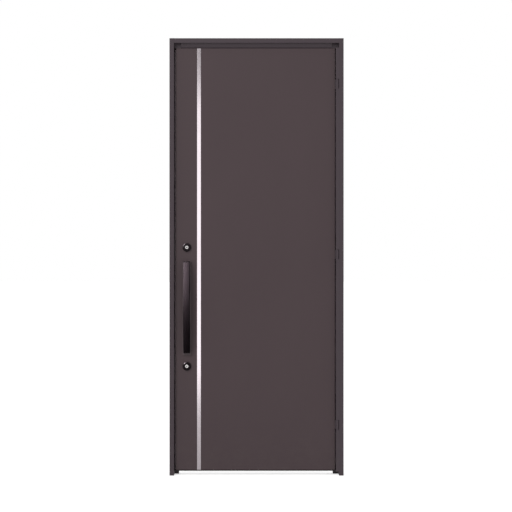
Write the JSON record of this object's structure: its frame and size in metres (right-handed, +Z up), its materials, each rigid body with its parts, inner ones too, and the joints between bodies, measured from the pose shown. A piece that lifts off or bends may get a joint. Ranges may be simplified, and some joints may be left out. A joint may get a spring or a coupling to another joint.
{
  "type": "entrance door in a frame",
  "caption": "Flush entrance door leaf with a vertical metal moulding, long pull handle and two cylinder locks, hinged in a slim aluminium frame with sill.",
  "frame": {"origin": "middle of the underside of the sill, at half the frame's depth; the jambs reach 25 mm lower", "axes": "+Z up, the outside faces -Y, +X to the right seen from outside (hinge side)"},
  "size_m": [0.928, 0.1779, 2.33],
  "materials": {
    "frame_metal": "satin dark brown",
    "sill_metal": "satin dark brown",
    "hinge_metal": "satin dark brown",
    "leaf_skin": "satin dark brown",
    "moulding_metal": "satin polished",
    "edge_metal": "dark anodised",
    "core_foam": "rigid foam",
    "gasket_rubber": "matt black",
    "lock_steel": "brushed",
    "lock_black": "satin black",
    "plug_metal": "bright turned",
    "handle_black": "satin black",
    "handle_base_metal": "satin dark brown"
  },
  "bodies": {
    "frame": {"frame_head": "frame_metal", "frame_jamb_latch_side": "frame_metal", "frame_jamb_hinge_side": "frame_metal", "frame_sill": "sill_metal", "gasket_latch_side": "gasket_rubber", "gasket_hinge_side": "gasket_rubber", "gasket_head": "gasket_rubber", "gasket_sill": "gasket_rubber", "strike_plate_upper": "edge_metal", "strike_plate_lower": "edge_metal", "hinge_cover_bottom": "frame_metal", "hinge_cover_lower": "frame_metal", "hinge_cover_upper": "frame_metal", "hinge_cover_top": "frame_metal", "hinge_lower_frame_side": "hinge_metal", "hinge_middle_frame_side": "hinge_metal", "hinge_upper_frame_side": "hinge_metal"},
    "leaf": {"hinge_lower_leaf_side": "hinge_metal", "hinge_middle_leaf_side": "hinge_metal", "hinge_upper_leaf_side": "hinge_metal", "leaf_outer_panel_narrow": "leaf_skin", "leaf_outer_panel_wide": "leaf_skin", "leaf_accent_moulding": "moulding_metal", "leaf_inner_panel": "leaf_skin", "leaf_core": "core_foam", "leaf_top_rail": "edge_metal", "leaf_bottom_rail": "edge_metal", "leaf_latch_stile": "edge_metal", "leaf_hinge_stile": "edge_metal", "lock_faceplate_upper": "lock_steel", "lock_faceplate_lower": "lock_steel", "deadbolt_upper": "lock_steel", "deadbolt_lower": "lock_steel", "lock_collar_upper": "lock_black", "lock_collar_lower": "lock_black", "thumbturn_rose_upper": "handle_black", "thumbturn_rose_lower": "handle_black", "thumbturn_upper": "handle_black", "thumbturn_lower": "handle_black", "outside_handle_base": "handle_base_metal", "inside_handle_base": "handle_black", "inside_handle_bar": "handle_black"},
    "pull_handle": {"outside_pull_handle": "handle_black"},
    "plug_upper": {"lock_plug_upper": "plug_metal"},
    "plug_lower": {"lock_plug_lower": "plug_metal"}
  },
  "joints": [
    {"name": "leaf_swing", "type": "hinge", "parent": "frame", "child": "leaf", "pos_m": [0.4317, -0.0425, 1.13], "axis": [0, 0, 1], "range_deg": [0, 100]},
    {"name": "handle_pull", "type": "hinge", "parent": "leaf", "child": "pull_handle", "pos_m": [-0.372, -0.0445, 0.653], "axis": [1, 0, 0], "range_deg": [0, 1.5], "stiffness_Nm_per_rad": 60, "springref_deg": -2.86},
    {"name": "upper_plug_turn", "type": "hinge", "parent": "leaf", "child": "plug_upper", "pos_m": [-0.372, -0.025, 1.1945], "axis": [0, 1, 0], "range_deg": [-90, 90]},
    {"name": "lower_plug_turn", "type": "hinge", "parent": "leaf", "child": "plug_lower", "pos_m": [-0.372, -0.025, 0.56], "axis": [0, 1, 0], "range_deg": [-90, 90]}
  ]
}
